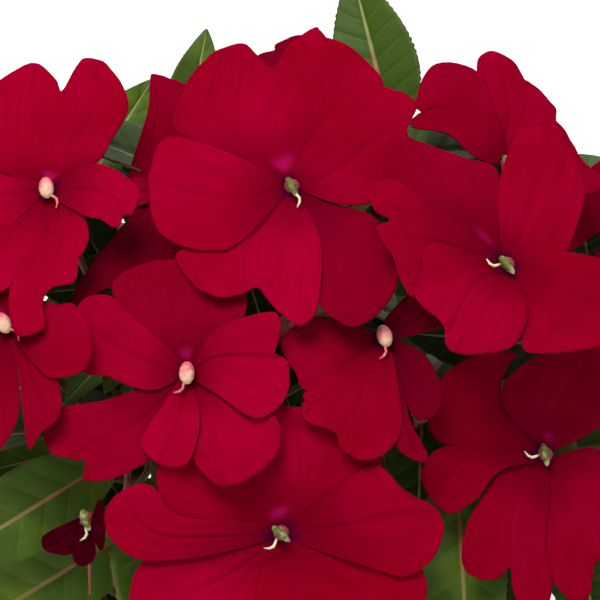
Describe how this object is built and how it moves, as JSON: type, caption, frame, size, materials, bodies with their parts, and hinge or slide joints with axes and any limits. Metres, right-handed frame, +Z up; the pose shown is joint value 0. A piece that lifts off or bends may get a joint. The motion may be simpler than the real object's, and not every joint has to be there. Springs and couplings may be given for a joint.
{
  "type": "potted flowering plant",
  "caption": "Round mound of crimson five-petalled flowers and pointed green leaves on branching stems, growing from a tapered plastic pot with a rim.",
  "frame": {"origin": "centre of the pot's flat underside", "axes": "+Z up along the pot's axis, -Y towards the side of the mound that the picture shows, +X to its right"},
  "size_m": [0.2962, 0.2829, 0.2931],
  "materials": {
    "pot_plastic": "moulded terracotta-coloured plastic, satin, with faint flow marks",
    "potting_soil": null,
    "stem": "fleshy green stem flushed red at the joints",
    "petal": null,
    "leaf": null,
    "bud": "smooth closed bud, green below and crimson at its tip"
  },
  "bodies": {
    "root": {"bud_face_low": "bud", "bud_face_middle": "bud", "flower_back": "petal", "flower_back_left": "petal", "flower_back_low": "petal", "flower_back_right": "petal", "flower_back_top": "petal", "flower_behind_left": "petal", "flower_centre": "petal", "flower_crest": "petal", "flower_far_left": "petal", "flower_far_right": "petal", "flower_front_left": "petal", "flower_front_low": "petal", "flower_front_right": "petal", "flower_left_lower": "petal", "flower_left_upper": "petal", "flower_low_centre": "petal", "flower_low_right": "petal", "flower_middle_left": "petal", "flower_right": "petal", "flower_right_back": "petal", "flower_right_lower": "petal", "flower_shaded": "petal", "flower_small": "petal", "flower_upper_left": "petal", "flower_upper_right": "petal", "leaf_between": "leaf", "leaf_crest": "leaf", "leaf_crest_small": "leaf", "leaf_low_bright": "leaf", "leaf_low_left": "leaf", "leaf_low_right": "leaf", "main_stem": "stem", "pot": "pot_plastic", "shoot_1": "stem", "shoot_2": "stem", "shoot_3": "stem", "shoot_4": "stem", "shoot_5": "stem", "shoot_6": "stem", "shoot_7": "stem", "shoot_8": "stem", "shoot_9": "stem", "soil": "potting_soil", "whorl_1": "leaf", "whorl_10": "leaf", "whorl_11": "leaf", "whorl_12": "leaf", "whorl_13": "leaf", "whorl_14": "leaf", "whorl_15": "leaf", "whorl_2": "leaf", "whorl_3": "leaf", "whorl_4": "leaf", "whorl_5": "leaf", "whorl_6": "leaf", "whorl_7": "leaf", "whorl_8": "leaf", "whorl_9": "leaf"}
  },
  "joints": []
}
